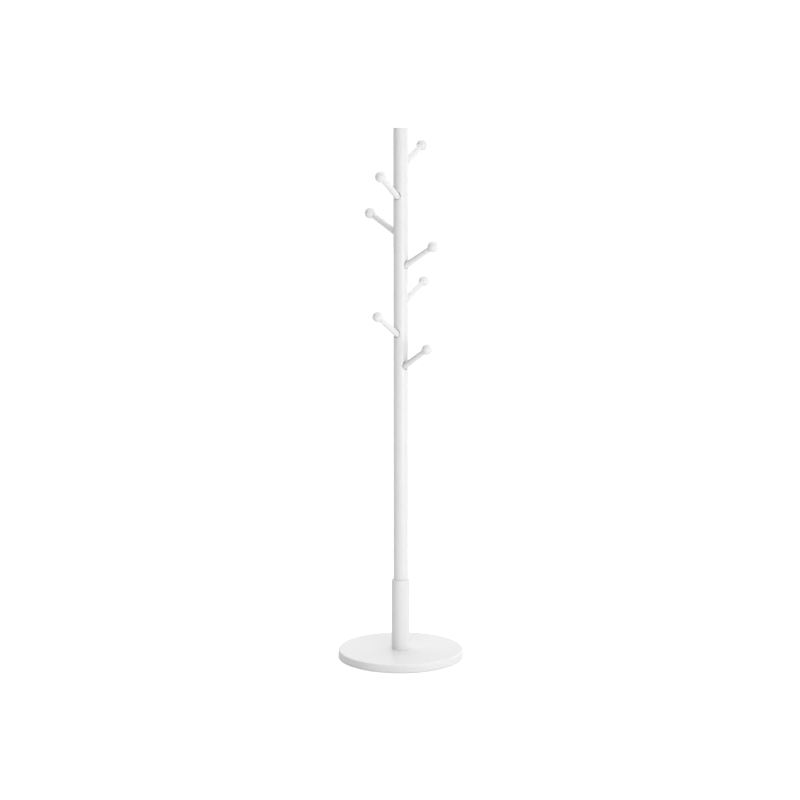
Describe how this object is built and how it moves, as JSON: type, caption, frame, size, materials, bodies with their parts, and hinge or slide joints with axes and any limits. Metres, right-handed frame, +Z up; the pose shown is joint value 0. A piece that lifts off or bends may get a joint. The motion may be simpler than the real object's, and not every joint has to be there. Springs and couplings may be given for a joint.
{
  "type": "standing coat rack",
  "caption": "Free-standing round pole on a round base board, with ball-ended pegs slanting up and out of the pole to hang coats, hats and bags.",
  "frame": {"origin": "on the floor, on the pole's axis, which is the centre of the base board", "axes": "+Z up along the pole; -Y is the front that the picture shows; +X to the right of someone who faces that front"},
  "size_m": [0.4, 0.4, 1.68],
  "materials": {
    "white_lacquer": "satin white lacquer over fine-grained turned wood",
    "zinc_steel": "bright zinc plate",
    "brass_insert": "turned brass",
    "bare_beech": "bare beech",
    "grey_felt": "pressed wool felt"
  },
  "bodies": {
    "root": {"base_disc": "white_lacquer", "foot_sleeve": "white_lacquer", "pole_lower": "white_lacquer", "pole_middle": "white_lacquer", "pole_upper": "white_lacquer", "peg_1": "white_lacquer", "peg_2": "white_lacquer", "peg_3": "white_lacquer", "peg_4": "white_lacquer", "peg_5": "white_lacquer", "peg_6": "white_lacquer", "peg_7": "white_lacquer", "peg_bolt_1": "zinc_steel", "peg_bolt_2": "zinc_steel", "peg_bolt_3": "zinc_steel", "peg_bolt_4": "zinc_steel", "peg_bolt_5": "zinc_steel", "peg_bolt_6": "zinc_steel", "peg_bolt_7": "zinc_steel", "peg_insert_1": "brass_insert", "peg_insert_2": "brass_insert", "peg_insert_3": "brass_insert", "peg_insert_4": "brass_insert", "peg_insert_5": "brass_insert", "peg_insert_6": "brass_insert", "peg_insert_7": "brass_insert", "foot_stud": "zinc_steel", "foot_insert_bottom": "brass_insert", "foot_insert_top": "brass_insert", "lower_stud": "zinc_steel", "lower_insert_bottom": "brass_insert", "lower_insert_top": "brass_insert", "upper_stud": "zinc_steel", "upper_insert_bottom": "brass_insert", "upper_insert_top": "brass_insert", "base_bolt": "zinc_steel", "base_washer": "zinc_steel", "base_insert": "brass_insert", "base_dowel_1": "bare_beech", "base_dowel_2": "bare_beech", "felt_pad_1": "grey_felt", "felt_pad_2": "grey_felt", "felt_pad_3": "grey_felt", "felt_pad_4": "grey_felt", "felt_pad_5": "grey_felt", "felt_pad_6": "grey_felt"}
  },
  "joints": []
}
